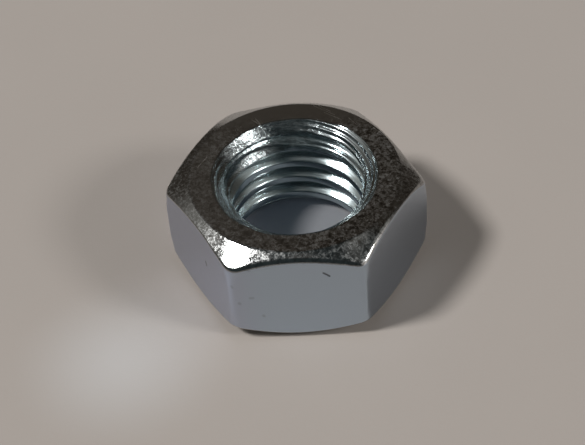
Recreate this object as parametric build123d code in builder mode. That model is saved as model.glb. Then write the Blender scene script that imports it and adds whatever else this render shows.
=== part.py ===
from build123d import *
from math import ceil, cos, radians, tan
import os

# A plain hexagon nut, standing on its lower face. The origin is the middle of that face, +Z is the
# thread's axis, two corners lie on the X axis and two flats face the Y axis. Millimetres.

# Hexagon blank
across_flats = 21.0
height = 10.5
corner_radius = 0.25

# Both ends are turned to a cone, which leaves a round flat ring to bear on
bearing_diameter = 19.5
bevel_angle = 35.0

# Thread M14 x 2, right-hand. The bore's wall is the circle through its crests
thread_diameter = 14.0
thread_pitch = 2.0
bore_diameter = 12.2
root_flat = 0.25
flank_angle = 60.0

# Height at which the middle of the thread's groove crosses the +X side
thread_start = 0.54

# Both mouths of the bore are countersunk, and the sharp rim is broken
mouth_diameter = 15.35
mouth_angle = 90.0
rim_radius = 0.15

bearing_radius = bearing_diameter / 2
bore_radius = bore_diameter / 2
mouth_radius = mouth_diameter / 2
root_radius = thread_diameter / 2

# The bevel's cone starts at the bearing ring and runs out just past the hexagon's corners
blank_radius = across_flats / 2 / cos(radians(30)) + corner_radius
bevel_drop = (blank_radius - bearing_radius) * tan(radians(bevel_angle))
mouth_depth = (mouth_radius - bore_radius) / tan(radians(mouth_angle / 2))

# The tap's tooth is a trapezoid whose base stands inside the bore, clear of its wall
tooth_radius = bore_radius - thread_pitch / 8
tooth_width = root_flat + 2 * (root_radius - tooth_radius) * tan(radians(flank_angle / 2))

with BuildPart() as hex_nut:
    with BuildSketch():
        RegularPolygon(radius=across_flats / 2, side_count=6, major_radius=False)
        fillet(vertices(), radius=corner_radius)
    extrude(amount=height)

    # Turned outline: a disc with both rims bevelled
    with BuildSketch(Plane.XZ):
        with BuildLine():
            Polyline(
                (0, 0),
                (bearing_radius, 0),
                (blank_radius, bevel_drop),
                (blank_radius, height - bevel_drop),
                (bearing_radius, height),
                (0, height),
                close=True,
            )
        make_face()
    revolve(axis=Axis.Z, mode=Mode.INTERSECT)

    # Bore with a countersunk mouth at each end
    with BuildSketch(Plane.XZ):
        with BuildLine():
            Polyline(
                (0, 0),
                (mouth_radius, 0),
                (bore_radius, mouth_depth),
                (bore_radius, height - mouth_depth),
                (mouth_radius, height),
                (0, height),
                close=True,
            )
        make_face()
    revolve(axis=Axis.Z, mode=Mode.SUBTRACT)
    circles = edges().filter_by(GeomType.CIRCLE)
    rims = circles.filter_by(lambda edge: abs(edge.radius - mouth_radius) < 1e-3)
    fillet(rims, radius=rim_radius)

    # One turn of the groove: the tooth's four corners follow helices, with ruled walls between them
    tooth = (
        (tooth_radius, -tooth_width / 2),
        (root_radius, -root_flat / 2),
        (root_radius, root_flat / 2),
        (tooth_radius, tooth_width / 2),
    )
    paths = [
        Helix(thread_pitch, thread_pitch, radius, center=(0, 0, z), mode=Mode.PRIVATE).edge()
        for radius, z in tooth
    ]
    walls = [Face.make_surface_from_curves(a, b) for a, b in zip(paths, paths[1:] + paths[:1])]
    ends = [Face(Wire.make_polygon([path @ t for path in paths])) for t in (0, 1)]
    turn = Solid(Shell(walls + ends))

    # Turn follows turn, from below the nut until the groove has run out of its top
    turns = ceil((height - thread_start) / thread_pitch) + 1
    for k in range(-1, turns):
        add(turn.moved(Location((0, 0, thread_start + k * thread_pitch))), mode=Mode.SUBTRACT)

hex_nut.part.label = "hex_nut"
os.makedirs("parts", exist_ok=True)
export_step(hex_nut.part, "parts/hex_nut.step")
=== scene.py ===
import bpy
import bmesh
import numpy as np
from math import cos, pi, radians, sin, sqrt, tan
from mathutils import Matrix, Vector


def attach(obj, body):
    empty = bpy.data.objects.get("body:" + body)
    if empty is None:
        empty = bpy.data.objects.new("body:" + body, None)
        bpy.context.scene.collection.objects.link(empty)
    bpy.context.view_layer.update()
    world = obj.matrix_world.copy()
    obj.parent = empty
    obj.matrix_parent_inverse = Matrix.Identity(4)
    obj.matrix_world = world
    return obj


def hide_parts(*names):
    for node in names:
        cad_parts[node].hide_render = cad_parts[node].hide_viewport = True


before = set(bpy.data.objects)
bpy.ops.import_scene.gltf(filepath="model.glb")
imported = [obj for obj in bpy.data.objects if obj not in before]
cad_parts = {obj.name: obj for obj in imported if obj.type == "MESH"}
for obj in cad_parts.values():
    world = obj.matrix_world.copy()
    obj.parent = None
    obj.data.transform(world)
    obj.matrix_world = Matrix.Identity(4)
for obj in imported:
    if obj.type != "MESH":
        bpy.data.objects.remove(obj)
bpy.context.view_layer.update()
metresPerMillimetre = 0.001

# Work in millimetres and hand Blender metres
nutSizes = {
    "acrossFlats": 21.0,
    "height": 10.5,
    # Corners by their direction in degrees: the forging left their ends less filled than their middles
    "cornerRadius": {0: 0.30, 60: 0.35, 120: 0.35, 180: 0.30, 240: 0.90, 300: 0.32},
    "cornerRadiusAtEnds": {0: 1.3, 60: 1.3, 120: 1.3, 180: 1.3, 240: 1.8, 300: 1.2},
    "cornerFillDepth": 2.2,
    "bearingDiameter": 19.4,
    "bevelAngle": 35.0,
    "leastBevel": 0.12,        # the upper bevel cuts at least this deep
    # How much deeper it cuts each flat: the flat's direction in degrees and millimetres
    "bevelExtra": {-90: -0.06, -30: -0.44, 30: 0.22, 90: 0.0, 150: -0.36, 210: 0.0},
    # How far back from an edge its round starts: where the upper bevel meets each flat,
    # where the lower one does, at the ring's outer edge and at its inner edge
    "shoulderRound": {-90: 0.55, -30: 0.42, 30: 0.95, 90: 0.25, 150: 0.25, 210: 0.15},
    "lowerShoulderRound": 0.25, "bearingRound": 0.16, "rimRound": 0.16,
    "mouthDiameter": 15.35,
    "mouthAngle": 90.0,
}

threadSizes = {
    "rootDiameter": 14.0,
    "crestDiameter": 12.2,
    "pitch": 2.0,
    "rootFlat": 0.25,
    "flankAngle": 60.0,
    "edgeSoftness": 0.12,      # share of a flank that the crest's and root's edges take to turn
    "rootHeight": 0.54,        # height of the first root where the helix crosses the +X side
    "shiftToRight": 0.2,       # the thread stands a little off the mouth's centre
    # The tap tore the top crest away on one side, fully from one depth below the top face up and
    # not at all below another. Where nothing is torn, that surface lies sunk inside the thread
    "tornDirection": 150, "tornReach": 75, "tornFrom": 2.9, "tornTo": 1.8, "tornDepth": 0.55, "sunkBy": 0.2,
    # Streaks: their seed, shortest and longest wave, by how many turns a wave may stray, and height
    "streaks": {"crest": (3, 0.8, 2.5, 9, 0.018), "torn": (5, 0.7, 1.8, 7, 0.045), "rim": (11, 0.5, 3, 14, 0.03)},
    "coneStreaksFrom": 0.15, "coneStreaksTo": 0.6,    # depths between which the cone's streaks grow
}

meshFineness = {
    "columnsPerHalfSide": 36,
    "cornerSpread": 0.9,       # degrees
    "cornerGain": 4.0,         # how much closer the columns stand at a corner
    "rowsAcrossThread": (0, 0.10, 0.145, 0.166, 0.19, 0.235, 0.30, 0.365, 0.41, 0.4375, 0.47),
    # Rows along each straight of the outline, from the upper mouth to the lower, and round each edge
    "straightRows": (1, 16, 13, 19, 8, 6, 1), "roundRows": (6, 5, 10, 6, 4, 4),
}


def columnAngles():
    # Angles round the axis, closer at the corners: the running total of
    # 1 + gain * exp(-(degrees from the corner / spread)^2), read off at even steps
    fine = np.linspace(0, 30, 1201)
    density = 1 + meshFineness["cornerGain"] * np.exp(-(fine / meshFineness["cornerSpread"]) ** 2)
    total = np.concatenate([[0], np.cumsum((density[1:] + density[:-1]) / 2)])
    steps = np.linspace(0, total[-1], meshFineness["columnsPerHalfSide"] + 1)
    halfSide = np.interp(steps, total, fine)
    side = np.concatenate([halfSide, 60 - halfSide[-2:0:-1]])
    return np.radians((side + 60 * np.arange(6)[:, None]).ravel())


def hexagonRadius(angle, rounding):
    # apothem / cos(angle from the flat's middle) on a flat, and on a corner's round
    # centre * cos(angle from the corner) + sqrt(round^2 - (centre * sin(angle from the corner))^2)
    apothem = nutSizes["acrossFlats"] / 2
    fromFlat = angle % (pi / 3) - pi / 6
    fromCorner = (angle + pi / 6) % (pi / 3) - pi / 6
    centre = (apothem - rounding) / cos(pi / 6)
    sideways = centre * np.sin(fromCorner)
    onRound = np.abs(sideways) < rounding * sin(pi / 6)
    roundReach = np.sqrt(np.maximum(rounding ** 2 - sideways ** 2, 0))
    return np.where(onRound, centre * np.cos(fromCorner) + roundReach, apothem / np.cos(fromFlat))


def smooth(value, low, high):
    # 3 t^2 - 2 t^3, where t runs from 0 at low to 1 at high
    t = np.clip((value - low) / (high - low), 0, 1)
    return t * t * (3 - 2 * t)


def byFlat(amounts, angle):
    # Each flat's amount, held over its flat and eased into the next across the corner:
    # this * (1 - ease) + next * ease
    directions = sorted(amounts)
    values = np.array([amounts[d] for d in directions])
    place = (np.degrees(angle) - directions[0]) % 360 / 60
    flat = np.floor(place).astype(int)
    ease = smooth(place - flat, 0.25, 0.75)
    return values[flat % 6] * (1 - ease) + values[(flat + 1) % 6] * ease


def byCorner(amounts, angle):
    # Each corner's amount, held over the 60 degrees round it
    nearest = np.round(np.degrees(angle) / 60).astype(int) % 6
    return np.array([amounts[60 * k] for k in range(6)])[nearest]


def streaks(kind, angle, z):
    # Seeded streaks that climb with the thread: waves sin(turns * angle + 2 pi z / wavelength + start),
    # with turns within stray of -pitch / wavelength, added up, times height / sqrt(waves / 2)
    seed, shortest, longest, stray, height = threadSizes["streaks"][kind]
    pick = np.random.default_rng(seed)
    waves = 40
    total = 0
    for _ in range(waves):
        wavelength = longest * (shortest / longest) ** pick.random()
        turns = round(-threadSizes["pitch"] / wavelength) + pick.integers(-stray, stray + 1)
        total = total + np.sin(turns * angle + 2 * pi * z / wavelength + 2 * pi * pick.random())
    return height * total / sqrt(waves / 2)


def roundedPath(corners, zones, cuts, straights, rounds):
    # Points along a path through the corners, a row for each point and a column for each angle,
    # and each row's zone. Each inner corner becomes the parabola (1-t)^2 a + 2t(1-t) corner + t^2 b
    # from a, its cut before the corner, to b, its cut after
    rows, rowZones = [corners[0][None]], [zones[0]]
    last = corners[0]
    for k in range(1, len(corners)):
        corner = corners[k]
        arriving = corner - corners[k - 1]
        arriving = arriving / np.linalg.norm(arriving, axis=-1, keepdims=True)
        final = k == len(corners) - 1
        cut = 0 if final else np.broadcast_to(cuts[k - 1], corner.shape[:1])[:, None]
        a = corner - arriving * cut
        t = np.linspace(0, 1, straights[k - 1] + 1)[1:, None, None]
        rows.append(last + (a - last) * t)
        rowZones += [zones[k - 1]] * straights[k - 1]
        if final:
            break
        leaving = corners[k + 1] - corner
        leaving = leaving / np.linalg.norm(leaving, axis=-1, keepdims=True)
        b = corner + leaving * cut
        t = np.linspace(0, 1, rounds[k - 1] + 1)[1:, None, None]
        rows.append((1 - t) ** 2 * a + 2 * t * (1 - t) * corner + t ** 2 * b)
        rowZones += list(zones[k - 1] + (zones[k] - zones[k - 1]) * t.ravel())
        last = b
    return np.concatenate(rows), np.array(rowZones)


def threadPhase(angle, z):
    # How far a point is from the crest's middle, as a share of a turn: |rise mod 1 - 1/2|, where
    # rise = (z - root height) / pitch - angle / 2 pi. It is 1/2 on the root's middle
    rise = (z - threadSizes["rootHeight"]) / threadSizes["pitch"] - angle / (2 * pi)
    return np.abs(rise % 1 - 0.5)


def mouthRim(angle):
    # The ragged rim of the upper mouth: mouth radius + streaks
    return nutSizes["mouthDiameter"] / 2 + streaks("rim", angle, 0 * angle)


def boreRadius(angle, z):
    # The thread's radius, crest + thread depth * clip((phase - half the crest) / flank), or if larger
    # that of the mouths' cones, mouth - depth * tan(half the mouth's angle), or of the torn side.
    # Also how far the cones and the torn side stand out from the thread
    pitch = threadSizes["pitch"]
    crest, root = threadSizes["crestDiameter"] / 2, threadSizes["rootDiameter"] / 2
    rootShare = threadSizes["rootFlat"] / 2 / pitch
    flankShare = (root - crest) * tan(radians(threadSizes["flankAngle"] / 2)) / pitch
    crestShare = 0.5 - rootShare - flankShare
    softness = threadSizes["edgeSoftness"]
    x = (threadPhase(angle, z) - crestShare) / flankShare
    soft = lambda v: (v + np.sqrt(v * v + softness ** 2)) / 2
    thread = crest + (root - crest) * (soft(x) - soft(x - 1))
    thread = thread + streaks("crest", angle, z)
    shift = threadSizes["shiftToRight"]
    thread = shift * np.cos(angle) + np.sqrt(thread ** 2 - (shift * np.sin(angle)) ** 2)
    slope = tan(radians(nutSizes["mouthAngle"] / 2))
    mouth = nutSizes["mouthDiameter"] / 2
    fromTop = nutSizes["height"] - z
    onCone = streaks("torn", angle, z)
    growing = smooth(fromTop, threadSizes["coneStreaksFrom"], threadSizes["coneStreaksTo"])
    topCone = mouthRim(angle) - fromTop * slope + onCone * growing
    bottomCone = mouth - z * slope
    aside = np.cos(angle - radians(threadSizes["tornDirection"]))
    side = smooth(aside, cos(radians(threadSizes["tornReach"])), 1)
    torn = side * smooth(-fromTop, -threadSizes["tornFrom"], -threadSizes["tornTo"])
    torn = crest + torn * (threadSizes["tornDepth"] + 2 * onCone) - threadSizes["sunkBy"] * (1 - torn)
    cones = np.maximum(np.maximum(topCone, bottomCone), torn)
    return np.maximum(thread, cones), cones - thread


def boreRows(angle, low, high):
    # Rows that climb with the thread, so that its edges run along them: height = start +
    # pitch * (turn + phase + angle / 2 pi), held between low and high
    half = np.array(meshFineness["rowsAcrossThread"])
    phases = np.concatenate([half, 1 - half[:0:-1]])
    turns = int(np.ceil((high - low) / threadSizes["pitch"])) + 1
    turn = np.arange(-2, turns)
    along = (turn[:, None] + phases).ravel()
    crestHeight = threadSizes["rootHeight"] - threadSizes["pitch"] / 2
    z = crestHeight + threadSizes["pitch"] * (along[:, None] + angle / (2 * pi))
    return np.clip(z, low, high), len(phases)


def quads(rows, columns, offset=0, climb=0):
    # Vertex numbers of a grid's faces, closed round: past the last column a row goes on
    # as the row that stands climb higher
    row = np.arange(rows - 1)[:, None]
    column = np.arange(columns)[None]
    wraps = column == columns - 1
    right = (column + 1) % columns
    lower = row + np.where(wraps, climb, 0)
    faces = np.stack([
        row * columns + column + 0 * lower,
        lower * columns + right,
        (lower + 1) * columns + right,
        (row + 1) * columns + column + 0 * lower,
    ], -1)
    return faces[lower + 1 < rows] + offset


def nutMesh():
    # One closed surface: at each angle a path of (radius, height) from the upper mouth over the ring,
    # the bevel, the flat and the underside to the lower mouth, and the bore's rows between the mouths
    angle = columnAngles()
    height, mouth = nutSizes["height"], nutSizes["mouthDiameter"] / 2
    topRim = mouthRim(angle)
    bearing, slope = nutSizes["bearingDiameter"] / 2, tan(radians(nutSizes["bevelAngle"]))
    cut = nutSizes["rimRound"]
    # The bore's rows start on the cone, just past the rim's round
    low = 1.5 * cut * cos(radians(nutSizes["mouthAngle"] / 2))
    high = height - low
    hexagon = hexagonRadius(angle, byCorner(nutSizes["cornerRadiusAtEnds"], angle))
    drop = (hexagon - bearing) * slope
    shoulder = height - np.maximum(drop + byFlat(nutSizes["bevelExtra"], angle), nutSizes["leastBevel"])
    even = np.ones_like(angle)
    point = lambda r, z: np.stack([r * even, z * even], -1)
    corners = [
        point(boreRadius(angle, high * even)[0], high),
        point(topRim, height),
        point(bearing, height),
        point(hexagon, shoulder),
        point(hexagon, drop),
        point(bearing, 0),
        point(mouth, 0),
        point(boreRadius(angle, low * even)[0], low),
    ]
    # Zones: 0 thread, 1 mouth, 2 ring, 3 bevel, 4 flat
    zones = (1, 2, 3, 4, 3, 2, 1)
    bearingCut, shoulderCut = nutSizes["bearingRound"], byFlat(nutSizes["shoulderRound"], angle)
    cuts = (cut, bearingCut, shoulderCut, nutSizes["lowerShoulderRound"], bearingCut, cut)
    straights, rounds = meshFineness["straightRows"], meshFineness["roundRows"]
    outside, outsideZone = roundedPath(corners, zones, cuts, straights, rounds)
    # A wall stands as far out as its corner's round lets it: towards half height the round is smaller
    depth = np.minimum(height - outside[..., 1], outside[..., 1])
    fuller = hexagonRadius(angle, byCorner(nutSizes["cornerRadius"], angle)) - hexagon
    fill = smooth(depth - drop, 0, nutSizes["cornerFillDepth"]) * fuller
    outside[..., 0] += np.where(outside[..., 0] > bearing, fill, 0)
    boreZ, climb = boreRows(angle, low, high)
    boreR, standsOut = boreRadius(angle, boreZ)
    boreZone = smooth(standsOut, -0.02, 0.05)    # from thread to mouth where the cone comes out of the thread
    zone = np.concatenate([boreZone, outsideZone[:, None] + 0 * angle])
    r = np.concatenate([boreR, outside[..., 0]])
    z = np.concatenate([boreZ, outside[..., 1]])
    points = np.stack([r * np.cos(angle), r * np.sin(angle), z], -1).reshape(-1, 3)
    columns = len(angle)
    faces = np.concatenate([
        quads(len(boreZ), columns, climb=climb),
        quads(len(outside), columns, offset=len(boreZ) * columns),
    ])
    mesh = bpy.data.meshes.new("nut")
    mesh.from_pydata((points * metresPerMillimetre).tolist(), [], faces.tolist())
    mesh.attributes.new("zone", "FLOAT", "POINT").data.foreach_set("value", zone.ravel())
    work = bmesh.new()
    work.from_mesh(mesh)
    bmesh.ops.remove_doubles(work, verts=work.verts, dist=1e-7)
    bmesh.ops.recalc_face_normals(work, faces=work.faces)
    loose = [e for e in work.edges if len(e.link_faces) != 2]
    print("nut:", len(work.verts), "points,", len(work.faces), "faces,", len(loose), "open edges")
    work.to_mesh(mesh)
    work.free()
    mesh.shade_smooth()
    return mesh


# Camera. Angles are in radians, lengths in widths across the flats
photoView = {
    "azimuth": 0.0484,         # from -Y towards +X
    "elevation": 0.7933,
    "roll": 0.0815,
    "distance": 7.834,
    "shiftRight": 0.0221,      # how far the nut's middle stands right of the line of sight
    "shiftDown": -0.0327,
    "focalPixels": 1760.1,
    "imageWidth": 585,
    "sensorWidth": 36,         # millimetres
}


def makeCamera():
    # The camera stands at middle - (shift right + shift down + distance forward) * width across the
    # flats. Roll turns right and down about forward
    azimuth, elevation = photoView["azimuth"], photoView["elevation"]
    forward = Vector((-sin(azimuth) * cos(elevation), cos(azimuth) * cos(elevation), -sin(elevation)))
    right = Vector((cos(azimuth), sin(azimuth), 0))
    down = forward.cross(right)
    c, s = cos(photoView["roll"]), sin(photoView["roll"])
    right, down = c * right + s * down, c * down - s * right
    unit = nutSizes["acrossFlats"] * metresPerMillimetre
    middle = Vector((0, 0, nutSizes["height"] / 2 * metresPerMillimetre))
    away = photoView["shiftRight"] * right + photoView["shiftDown"] * down + photoView["distance"] * forward
    data = bpy.data.cameras.new("camera")
    data.sensor_width = photoView["sensorWidth"]
    data.lens = photoView["focalPixels"] / photoView["imageWidth"] * data.sensor_width
    data.clip_start, data.clip_end = 0.01, 10
    camera = bpy.data.objects.new("camera", data)
    turn = Matrix((right, -down, -forward)).transposed()
    camera.matrix_world = Matrix.Translation(middle - away * unit) @ turn.to_4x4()
    bpy.context.collection.objects.link(camera)
    bpy.context.scene.camera = camera


makeCamera()
print("camera set")


class Field:
    # A socket that takes part in arithmetic: each expression adds its Math or Vector Math node
    def __init__(self, bench, socket):
        self.bench, self.socket = bench, socket
        self.wide = socket.type in ("VECTOR", "RGBA")

    def combine(self, operation, first, second):
        wide = any(isinstance(v, tuple) or getattr(v, "wide", False) for v in (first, second))
        fill = lambda v: (v, v, v) if wide and isinstance(v, (int, float)) else v
        kind = "ShaderNodeVectorMath" if wide else "ShaderNodeMath"
        return self.bench.node(kind, {"operation": operation}, {0: fill(first), 1: fill(second)})

    def __add__(self, other): return self.combine("ADD", self, other)
    def __radd__(self, other): return self.combine("ADD", other, self)
    def __sub__(self, other): return self.combine("SUBTRACT", self, other)
    def __rsub__(self, other): return self.combine("SUBTRACT", other, self)
    def __mul__(self, other): return self.combine("MULTIPLY", self, other)
    def __rmul__(self, other): return self.combine("MULTIPLY", other, self)
    def __truediv__(self, other): return self.combine("DIVIDE", self, other)
    def __rtruediv__(self, other): return self.combine("DIVIDE", other, self)


class Bench:
    # Builds nodes in one tree
    def __init__(self, tree):
        self.tree = tree
        tree.nodes.clear()

    def node(self, kind, settings, sockets, output=0):
        made = self.tree.nodes.new(kind)
        for name, value in settings.items():
            if name == "stops":
                self.setStops(made.color_ramp, value)
            else:
                setattr(made, name, value)
        for name, value in sockets.items():
            if isinstance(value, Field):
                self.tree.links.new(value.socket, made.inputs[name])
            else:
                made.inputs[name].default_value = value
        return Field(self, made.outputs[output]) if made.outputs else made

    def setStops(self, ramp, stops):
        for k, (place, colour) in enumerate(stops):
            stop = ramp.elements[k] if k < 2 else ramp.elements.new(place)
            stop.position, stop.color = place, (*colour, 1)

    def place(self):
        return self.node("ShaderNodeTexCoord", {}, {}, "Object")

    def parts(self, vector):
        split = self.tree.nodes.new("ShaderNodeSeparateXYZ")
        self.tree.links.new(vector.socket, split.inputs[0])
        return [Field(self, output) for output in split.outputs]

    def join(self, x, y, z):
        return self.node("ShaderNodeCombineXYZ", {}, {0: x, 1: y, 2: z})

    def noise(self, vector, scale, detail=2.0, roughness=0.5, distortion=0.0):
        return self.node("ShaderNodeTexNoise", {}, {"Vector": vector, "Scale": scale, "Detail": detail,
                                                    "Roughness": roughness, "Distortion": distortion})

    def ramp(self, value, stops):
        return self.node("ShaderNodeValToRGB", {"stops": stops}, {"Fac": value})

    def between(self, value, low, high):
        # 0 below low, 1 above high, and the other way round if low is above high
        return self.node("ShaderNodeMapRange", {"interpolation_type": "SMOOTHSTEP"},
                         {"Value": value, "From Min": low, "From Max": high})

    def mix(self, share, first, second):
        wide = lambda v: (*v, 1) if isinstance(v, tuple) else v
        return self.node("ShaderNodeMix", {"data_type": "RGBA"}, {0: share, 6: wide(first), 7: wide(second)}, 2)

    def dot(self, vector, direction):
        return self.node("ShaderNodeVectorMath", {"operation": "DOT_PRODUCT"}, {0: vector, 1: direction}, "Value")

    def length(self, vector):
        return self.node("ShaderNodeVectorMath", {"operation": "LENGTH"}, {0: vector}, "Value")

    def distance(self, place, point):
        return self.node("ShaderNodeVectorMath", {"operation": "DISTANCE"}, {0: place, 1: point}, "Value")

    def mark(self, place, start, end, width):
        # 1 along the line from start to end, 0 from its width on: the distance to the nearest
        # point start + t * (end - start), with t held between 0 and 1
        start, end = Vector(start), Vector(end)
        along = end - start
        fromStart = place - tuple(start)
        t = self.dot(fromStart, tuple(along / along.length_squared))
        held = self.node("ShaderNodeClamp", {}, {"Value": t})
        return self.between(self.length(fromStart - held * tuple(along)), width, 0.3 * width)

    def marks(self, place, kind):
        # All marks of a kind, added up
        total = 0.0
        for start, end in kind["lines"]:
            total = self.mark(place, start, end, kind["width"]) + total
        return total


# Floor: pale paper, in metres
floorLook = {
    "size": 6.0, "colour": (0.397, 0.361, 0.333), "roughness": 0.75, "gloss": 0.25,
    # Faint clouds in the colour, which darken it to a share, and the fibres' relief
    "cloudsPerMetre": 60.0, "cloudShade": 0.985,
    "fibresPerMetre": 2600.0, "fibreStrength": 0.08, "fibreHeight": 0.0001,
    # The paper in the hole: its reach, full and faded, its colour, which is painted shade (darker and bluer than
    # the paper), and a painted glow, an emission that stands in for the light that the bore throws on it
    "paintedHoleShadeAndGlow": {"full": 0.0065, "gone": 0.009, "colour": (0.25, 0.255, 0.27), "paintedBounceGlow": (0.014, 0.018, 0.024)},
    # A painted pool of light: the paper beside the nut is painted lighter where the nut throws light onto it:
    # where, how far, and the painted colour there
    "glow": {"middle": (-0.0165, -0.0125, 0), "reach": 0.011, "colour": (0.485, 0.47, 0.46)},
}


def makeFloor():
    # A square on z = 0. Its colour is the clouds', then by distance the hole's painted shade and the painted pool
    # of light beside the nut. The paper in the hole also gets a painted glow
    half = floorLook["size"] / 2
    corners = [(-half, -half, 0), (half, -half, 0), (half, half, 0), (-half, half, 0)]
    mesh = bpy.data.meshes.new("floor")
    mesh.from_pydata(corners, [], [(0, 1, 2, 3)])
    material = bpy.data.materials.new("paper")
    material.use_nodes = True
    bench = Bench(material.node_tree)
    place = bench.place()
    pale, paintedHoleShadeAndGlow, glow = floorLook["colour"], floorLook["paintedHoleShadeAndGlow"], floorLook["glow"]
    shaded = tuple(floorLook["cloudShade"] * v for v in pale)
    cloud = bench.noise(place, floorLook["cloudsPerMetre"], 3.0)
    colour = bench.ramp(cloud, [(0.35, shaded), (0.65, pale)])
    # Painted shade: the paper in the hole is painted darker and bluer
    inHole = bench.between(bench.distance(place, (0, 0, 0)), paintedHoleShadeAndGlow["gone"], paintedHoleShadeAndGlow["full"])
    colour = bench.mix(inHole, colour, paintedHoleShadeAndGlow["colour"])
    # Painted light: the paper beside the nut is painted lighter, standing in for light the nut throws onto it
    inPaintedLightPool = bench.between(bench.distance(place, glow["middle"]), glow["reach"], 0.0)
    colour = bench.mix(inPaintedLightPool, colour, glow["colour"])
    fibre = bench.noise(place, floorLook["fibresPerMetre"], 2.0)
    bump = bench.node("ShaderNodeBump", {}, {
        "Height": fibre, "Strength": floorLook["fibreStrength"], "Distance": floorLook["fibreHeight"]})
    # Painted glow: the paper in the hole emits a little bluish light, standing in for light bounced off the bore
    paintedBounceGlow = bench.mix(inHole, (0.0, 0.0, 0.0), paintedHoleShadeAndGlow["paintedBounceGlow"])
    shader = bench.node("ShaderNodeBsdfPrincipled", {}, {
        "Base Color": colour, "Roughness": floorLook["roughness"], "Specular IOR Level": floorLook["gloss"],
        "Normal": bump, "Emission Color": paintedBounceGlow, "Emission Strength": 1.0})
    bench.node("ShaderNodeOutputMaterial", {}, {"Surface": shader})
    mesh.materials.append(material)
    floor = bpy.data.objects.new("floor", mesh)
    bpy.context.collection.objects.link(floor)


makeFloor()
print("floor laid")

# Lamps: direction from the nut, width in metres, and the share of white that each lays on the floor
lampLook = {
    "distance": 2.0, "colour": (1.0, 0.985, 0.97),
    "lamps": {
        "keyLamp": {"direction": (-0.575, -0.17, 0.80), "width": 0.38, "light": 0.64},
        "sideLamp": {"direction": (0.76, -0.32, 0.57), "width": 0.45, "light": 0.18},
    },
}
roomLook = {
    # Dark and brown behind the nut, dark and cooler in front, with a pale rim near the table's level
    "behind": (0.048, 0.040, 0.032), "before": (0.036, 0.046, 0.048), "turnsOver": (-0.1, 0.4),
    "rim": (0.26, 0.235, 0.215), "rimFades": (0.10, 0.02),
    # Soft pale areas: direction, the angle they fill and the angle they fade out at, in degrees
    "pale": {
        "right": {"direction": (0.90, -0.40, 0.25), "full": 10, "gone": 35, "colour": (1.10, 1.04, 1.0)},
        "left": {"direction": (-0.80, 0.22, 0.56), "full": 10, "gone": 28, "colour": (0.27, 0.26, 0.24)},
        "front": {"direction": (0.02, -0.47, 0.88), "full": 5, "gone": 12, "colour": (0.17, 0.165, 0.16)},
        "farRight": {"direction": (0.68, -0.05, 0.73), "full": 8, "gone": 24, "colour": (0.36, 0.35, 0.33)},
    },
}


def makeLamps():
    # A disc of power P gives P / (pi area) radiance, and radiance * area * sine / distance^2 on the
    # floor, so P = light * pi^2 * distance^2 / sine
    distance = lampLook["distance"]
    for name, lamp in lampLook["lamps"].items():
        data = bpy.data.lights.new(name, "AREA")
        data.shape = "DISK"
        data.size = lamp["width"]
        data.color = lampLook["colour"]
        direction = Vector(lamp["direction"]).normalized()
        data.energy = lamp["light"] * pi ** 2 * distance ** 2 / direction.z
        shine = bpy.data.objects.new(name, data)
        shine.location = direction * distance
        shine.rotation_mode = "QUATERNION"
        shine.rotation_quaternion = direction.to_track_quat("Z", "Y")
        bpy.context.collection.objects.link(shine)


def makeRoom():
    # Colour by direction: before mixes into behind, then the rim and each pale area are mixed over it
    world = bpy.data.worlds.new("room")
    bpy.context.scene.world = world
    world.use_nodes = True
    bench = Bench(world.node_tree)
    direction = bench.node("ShaderNodeTexCoord", {}, {}, "Generated")
    _, y, z = bench.parts(direction)
    colour = bench.mix(bench.between(y, *roomLook["turnsOver"]), roomLook["before"], roomLook["behind"])
    colour = bench.mix(bench.between(z, *roomLook["rimFades"]), colour, roomLook["rim"])
    for pale in roomLook["pale"].values():
        facing = bench.dot(direction, tuple(Vector(pale["direction"]).normalized()))
        share = bench.between(facing, cos(radians(pale["gone"])), cos(radians(pale["full"])))
        colour = bench.mix(share, colour, pale["colour"])
    glow = bench.node("ShaderNodeBackground", {}, {"Color": colour, "Strength": 1.0})
    bench.node("ShaderNodeOutputWorld", {}, {"Surface": glow})


makeLamps()
makeRoom()
print("lamps and room set")

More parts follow.
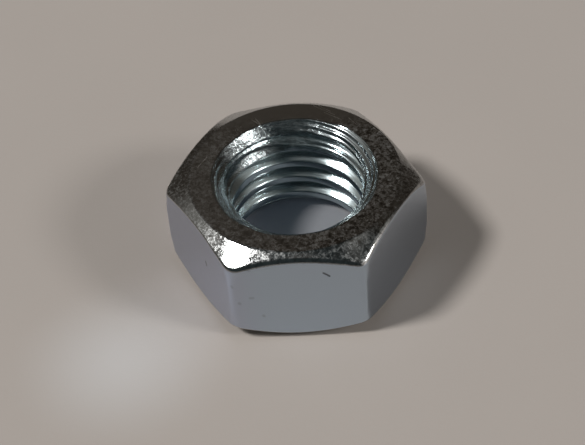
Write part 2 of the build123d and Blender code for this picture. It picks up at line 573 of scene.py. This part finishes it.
# Bright zinc over steel, clear passivated. Lengths are in millimetres
zincLook = {
    "colours": {
        # The right flat's colour is darker than the front's: painted shade, standing in for the shaded floor it
        # reflects
        "frontFlat": (0.455, 0.54, 0.635), "leftFlat": (0.465, 0.505, 0.615), "rightFlatPaintedShade": (0.385, 0.435, 0.50),
        # The bevel's colour is a neutral grey, and darker than the ring's as painted shade for the darker floor
        # it reflects behind the nut
        "ring": (0.62, 0.635, 0.64), "bevel": (0.44, 0.45, 0.45), "bore": (0.50, 0.58, 0.60),
        "mouth": (0.36, 0.40, 0.41), "dirt": (0.07, 0.06, 0.045), "scratch": (0.95, 0.94, 0.92),
        "tear": (0.07, 0.08, 0.085), "gouge": (0.09, 0.10, 0.11),
    },
    # Where the flats' colour turns over into the left and right ones', along X. The right flat's darker colour is
    # painted shade
    "leftFlatFrom": (-2.5, -7.5), "rightFlatFrom": (5.9, 6.6),
    # How much of each mark's colour covers the zinc
    "cover": {"blotches": 0.25, "specks": 0.7, "scratches": 0.6, "tears": 0.45, "gouges": 0.85, "pits": 0.22},
    # The noise values between which each comes in
    "comesIn": {"blotches": (0.65, 0.35), "specks": (0.52, 0.40), "roughSpecks": (0.38, 0.74),
                "tears": (0.54, 0.42), "roughness": (0.25, 0.75)},
    # How rough each zone is, at least and at most, and what is added on top
    "roughness": {"ring": (0.11, 0.17), "bevel": (0.10, 0.16), "flat": (0.28, 0.31), "bore": (0.15, 0.25)},
    "rougher": {"ringSpecks": 0.36, "bevelSpecks": 0.27, "scratches": 0.14, "leftOfRing": 0.07, "polish": 0.08},
    "leftOfRingFrom": (2.0, -8.0), "polishedSpecks": 0.4,    # share of the specks' roughness that polish takes
    "relief": {
        "bevelGrain": 0.004, "ringGrain": 0.006, "flatSwell": 0.02, "flatGrain": 0.0003,
        "boreStreaks": 0.014, "tears": 0.10, "ridges": 0.03, "scratches": 0.004, "gouges": 0.05,
    },
    # Noise: features per millimetre, detail, roughness and distortion
    "noise": {
        "grain": (5.0, 3.0, 0.6, 0.3), "blotch": (0.9, 3.0, 0.6, 0.0), "speck": (3.0, 4.0, 0.8, 0.5),
        "fine": (5.0, 2.0, 0.5, 0.0), "swell": (0.55, 2.0, 0.5, 0.0),
    },
    # Noise in the bore: features round it, features per millimetre of climb, detail and roughness
    "boreNoise": {"streak": (3.0, 5.5, 3.0, 0.65), "tear": (7.0, 3.4, 3.0, 0.7)},
    # The torn side's middle in degrees. Tears and ridges come in between two cosines of the angle
    # from it, and between two heights
    "tornMiddle": 125, "tornAside": (0.35, 0.75), "tornAbove": (6.8, 7.8),
    "ridgedAside": (0.9, 0.6), "ridgedAbove": (7.0, 7.8), "ridgeSpacing": 0.4,
    # Specks thin out over these stretches: towards the back, and from right to left down to a share
    "speckedBack": (9.0, 5.0), "speckedLeft": (-9.0, 5.0), "speckedShare": 0.4, "bevelSpecked": 0.8,
    # The front left corner is polished: in its middle, which has few specks, and round it
    "wornCorner": {"width": 1.0, "lines": [((-5.6, -9.0, 10.1), (-5.2, -9.9, 9.6))]}, "wornShare": 0.9,
    "polishedCorner": {"width": 2.0, "lines": [((-6.1, -8.3, 9.9), (-4.5, -9.6, 9.9))]},
    # Scratches and dents: how wide they are, and where each starts and ends
    "ringScratches": {"width": 0.05, "lines": [
        ((-3.95, 7.75, 10.5), (-2.95, 6.85, 10.5)), ((1.9, 9.35, 10.5), (3.9, 7.9, 10.5)),
        ((2.4, 9.3, 10.5), (3.5, 8.4, 10.5)), ((-9.75, -1.2, 10.5), (-9.5, -1.05, 10.5)),
        ((-6.45, 2.75, 10.5), (-6.2, 2.75, 10.5)), ((7.4, 5.95, 10.5), (8.4, 4.75, 10.5)),
        ((-3.6, 7.9, 10.5), (-3.1, 7.0, 10.5)), ((2.9, 8.3, 10.5), (4.5, 7.2, 10.5)),
        ((-8.9, 1.6, 10.5), (-8.1, 2.9, 10.5)), ((5.2, 7.4, 10.5), (5.9, 6.4, 10.5)),
    ]},
    "flatPits": {"width": 0.22, "lines": [
        ((-5.9, -10.5, 7.2), (-5.85, -10.5, 7.05)), ((-5.35, -10.5, 5.0), (-5.3, -10.5, 4.9)),
        ((-4.3, -10.5, 5.6), (-4.1, -10.5, 5.6)), ((-3.3, -10.5, 3.2), (-3.25, -10.5, 3.1)),
        ((-4.5, -10.5, 9.3), (-4.2, -10.5, 9.2)),
    ]},
    "flatGouges": {"width": 0.15, "lines": [
        ((2.35, -10.5, 8.45), (2.85, -10.5, 8.05)), ((-8.32, -6.6, 6.5), (-8.28, -6.66, 6.1)),
    ]},
}


def makeZinc():
    # Every look is a sum or a mix over masks, each 1 where its zone or mark is and 0 elsewhere:
    # roughness = sum of mask * (least + pattern * (most - least)) and what the marks add
    colours, cover, comesIn = zincLook["colours"], zincLook["cover"], zincLook["comesIn"]
    rougher, relief = zincLook["rougher"], zincLook["relief"]
    material = bpy.data.materials.new("zincPlate")
    material.use_nodes = True
    bench = Bench(material.node_tree)
    place = bench.place() * 1000
    x, y, z = bench.parts(place)
    # The zone runs from 0, thread, over 1, mouth, 2, ring, and 3, bevel, to 4, flat
    zone = bench.node("ShaderNodeAttribute", {"attribute_name": "zone"}, {}, "Fac")
    bore = bench.between(zone, 1.7, 1.2)
    ring = bench.between(zone, 1.3, 1.8) * bench.between(zone, 2.6, 2.2)
    bevel = bench.between(zone, 2.2, 2.6) * bench.between(zone, 3.75, 3.55)
    flat = bench.between(zone, 3.55, 3.75)
    bevelFace = bevel * bench.between(zone, 3.3, 3.1)    # without its round towards the flat
    mouth = bench.between(zone, 0.3, 0.9) * bore

    # Noise on a cylinder round the bore, drawn out along the thread's climb: height across the
    # threads = z + pitch * direction / 2 pi, with a little of the distance from the axis, so that
    # it changes down a flank too
    reach = bench.length(bench.join(x, y, 0.0))
    direction = bench.node("ShaderNodeMath", {"operation": "ARCTAN2"}, {0: x, 1: y})
    across = z + direction * (threadSizes["pitch"] / (2 * pi))
    wound = {}
    for name, (turns, climb, detail, roughness) in zincLook["boreNoise"].items():
        spot = bench.join(x / reach * turns, y / reach * turns, (across + reach * 0.15) * climb)
        wound[name] = bench.noise(spot, 1.0, detail, roughness)
    # The torn side of the bore, and the low ridges that the tap left opposite it
    middle = radians(zincLook["tornMiddle"])
    aside = bench.dot(bench.join(x / reach, y / reach, 0.0), (cos(middle), sin(middle), 0))
    torn = bench.between(aside, *zincLook["tornAside"]) * bench.between(z, *zincLook["tornAbove"]) * bore
    ridge = bench.node("ShaderNodeMath", {"operation": "SINE"}, {0: across * (2 * pi / zincLook["ridgeSpacing"])})
    ridged = bench.between(aside, *zincLook["ridgedAside"]) * bench.between(z, *zincLook["ridgedAbove"]) * bore

    noise = {name: bench.noise(place, *values) for name, values in zincLook["noise"].items()}
    scratches = bench.marks(place, zincLook["ringScratches"])
    gouges = bench.marks(place, zincLook["flatGouges"])
    pits = bench.marks(place, zincLook["flatPits"])
    worn = bench.marks(place, zincLook["wornCorner"]) * zincLook["wornShare"]
    polished = bench.marks(place, zincLook["polishedCorner"]) * bevel
    share = zincLook["speckedShare"]
    specked = bench.between(x, *zincLook["speckedLeft"]) * (1 - share) + share
    specked = bench.between(y, *zincLook["speckedBack"]) * specked * (ring + bevel * zincLook["bevelSpecked"])

    # Rougher specks catch the light and leave the rest a mirror
    rough = 0.0
    zones = {"ring": (ring, noise["blotch"]), "bevel": (bevel, noise["grain"]),
             "flat": (flat, noise["fine"]), "bore": (bore, wound["streak"])}
    for name, (mask, pattern) in zones.items():
        low, high = zincLook["roughness"][name]
        rough = mask * (bench.between(pattern, *comesIn["roughness"]) * (high - low) + low) + rough
    ringSpecks = ring * specked * rougher["ringSpecks"]
    bevelSpecks = bevelFace * (1 - worn) * (1 - polished * zincLook["polishedSpecks"]) * rougher["bevelSpecks"]
    rough = rough + bench.between(noise["speck"], *comesIn["roughSpecks"]) * (ringSpecks + bevelSpecks)
    rough = rough + scratches * rougher["scratches"] - polished * rougher["polish"]
    rough = rough + bench.between(x, *zincLook["leftOfRingFrom"]) * ring * rougher["leftOfRing"]

    colour = bench.mix(bench.between(x, *zincLook["leftFlatFrom"]), colours["frontFlat"], colours["leftFlat"])
    # Painted shade: the right flat is painted darker
    colour = bench.mix(bench.between(x, *zincLook["rightFlatFrom"]), colour, colours["rightFlatPaintedShade"])
    colour = bench.mix(ring, colour, colours["ring"])
    # Painted shade: the bevel's grey is darker than the ring's
    colour = bench.mix(bevel, colour, colours["bevel"])
    colour = bench.mix(bore, colour, colours["bore"])
    colour = bench.mix(mouth, colour, colours["mouth"])
    blotches = bench.between(noise["blotch"], *comesIn["blotches"]) * cover["blotches"]
    specks = bench.between(noise["speck"], *comesIn["specks"]) * cover["specks"]
    colour = bench.mix((blotches + specks) * specked, colour, colours["dirt"])
    colour = bench.mix(scratches * cover["scratches"], colour, colours["scratch"])
    tears = torn * bench.between(wound["tear"], *comesIn["tears"])
    colour = bench.mix(tears * cover["tears"], colour, colours["tear"])
    colour = bench.mix(gouges * cover["gouges"] + pits * cover["pits"], colour, colours["gouge"])

    height = bevel * (noise["grain"] * relief["bevelGrain"]) + ring * (noise["speck"] * relief["ringGrain"])
    height = height + flat * (noise["swell"] * relief["flatSwell"] + noise["fine"] * relief["flatGrain"])
    height = height + bore * (wound["streak"] * relief["boreStreaks"]) + torn * (wound["tear"] * relief["tears"])
    height = height + ridged * (ridge * relief["ridges"])
    height = height + scratches * relief["scratches"] - gouges * relief["gouges"]
    bump = bench.node("ShaderNodeBump", {}, {"Height": height, "Strength": 1.0, "Distance": metresPerMillimetre})
    shader = bench.node("ShaderNodeBsdfPrincipled", {}, {
        "Base Color": colour, "Metallic": 1.0, "Roughness": rough, "Normal": bump})
    bench.node("ShaderNodeOutputMaterial", {}, {"Surface": shader})
    return material


mesh = nutMesh()
mesh.materials.append(makeZinc())
nut = bpy.data.objects.new("zincNut", mesh)
bpy.context.collection.objects.link(nut)
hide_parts("hex_nut")
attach(nut, "root")
print("nut made")

scene = bpy.context.scene
scene.view_settings.view_transform = "Standard"
